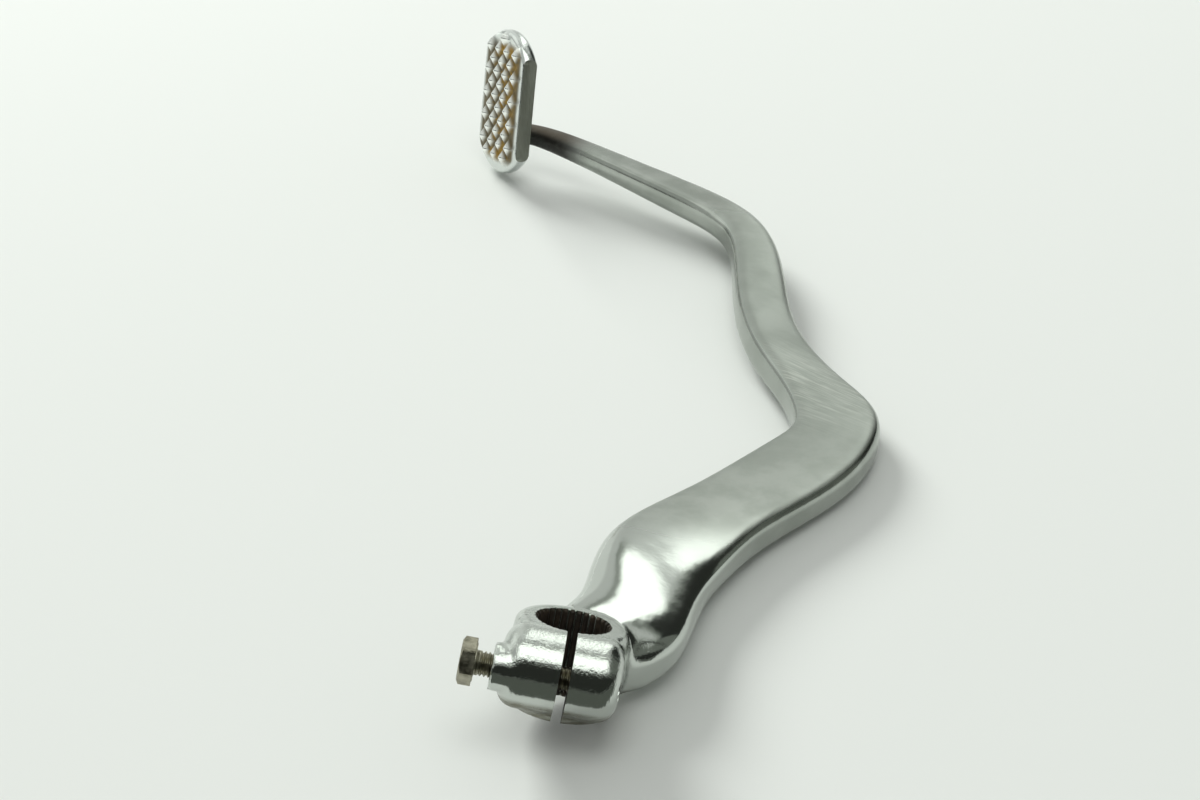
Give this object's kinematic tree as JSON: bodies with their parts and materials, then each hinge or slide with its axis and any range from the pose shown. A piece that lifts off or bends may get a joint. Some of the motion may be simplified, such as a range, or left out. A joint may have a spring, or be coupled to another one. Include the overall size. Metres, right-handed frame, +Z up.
{
  "type": "rear brake pedal",
  "caption": "Forged foot pedal for a motorbike's rear brake: a split serrated clamp boss, a flat arm with two bends and a toe pad covered in small pyramids.",
  "frame": {"origin": "middle of the clamp boss's serrated bore", "axes": "lying as it rests on a table: +Z up from the table, +Y along the length from the boss towards the toe pad, +X to the side the arm bends out to"},
  "size_m": [0.1218, 0.3469, 0.0502],
  "materials": {
    "chrome_plate": "hazy chrome plate, brightest round the boss",
    "pad_plate": "chrome plate with rust in the grooves",
    "weld_bead": "dark, lightly rusted",
    "bolt_zinc": "dull zinc plate"
  },
  "bodies": {
    "root": {"pedal_arm": "chrome_plate", "toe_pad": "pad_plate", "pad_weld": "weld_bead", "pinch_bolt": "bolt_zinc"}
  },
  "joints": []
}
